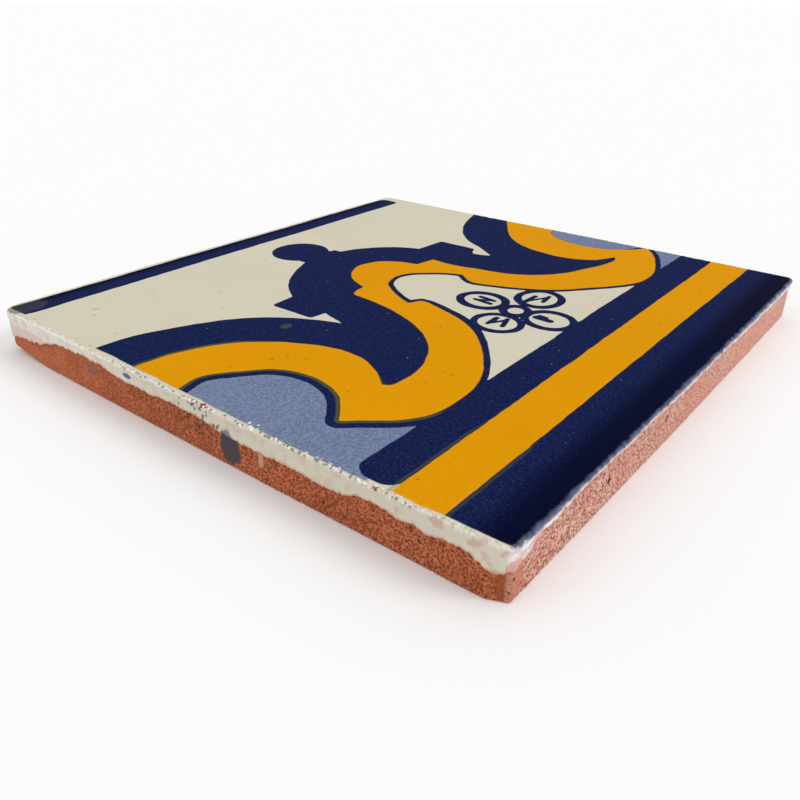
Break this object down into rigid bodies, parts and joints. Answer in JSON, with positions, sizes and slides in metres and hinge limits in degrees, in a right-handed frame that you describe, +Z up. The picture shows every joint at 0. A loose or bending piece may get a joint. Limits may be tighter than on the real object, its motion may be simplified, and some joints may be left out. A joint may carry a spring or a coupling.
{
  "type": "talavera tile",
  "caption": "Square wall tile of red fired clay, glazed on its face and painted with a traditional flower, arch and stripe border. It lies flat on its back.",
  "frame": {"origin": "middle of the back, on the surface that the tile lies on", "axes": "+Z up out of the glazed face; +X along the painted stripes; -Y towards the stripes' side"},
  "size_m": [0.1063, 0.1052, 0.0077],
  "materials": {
    "glaze": "gloss, painted in navy, yellow and pale blue on cream",
    "clay": "bare fired clay, matte and sandy"
  },
  "bodies": {
    "root": {"tile": "glaze"}
  },
  "joints": []
}
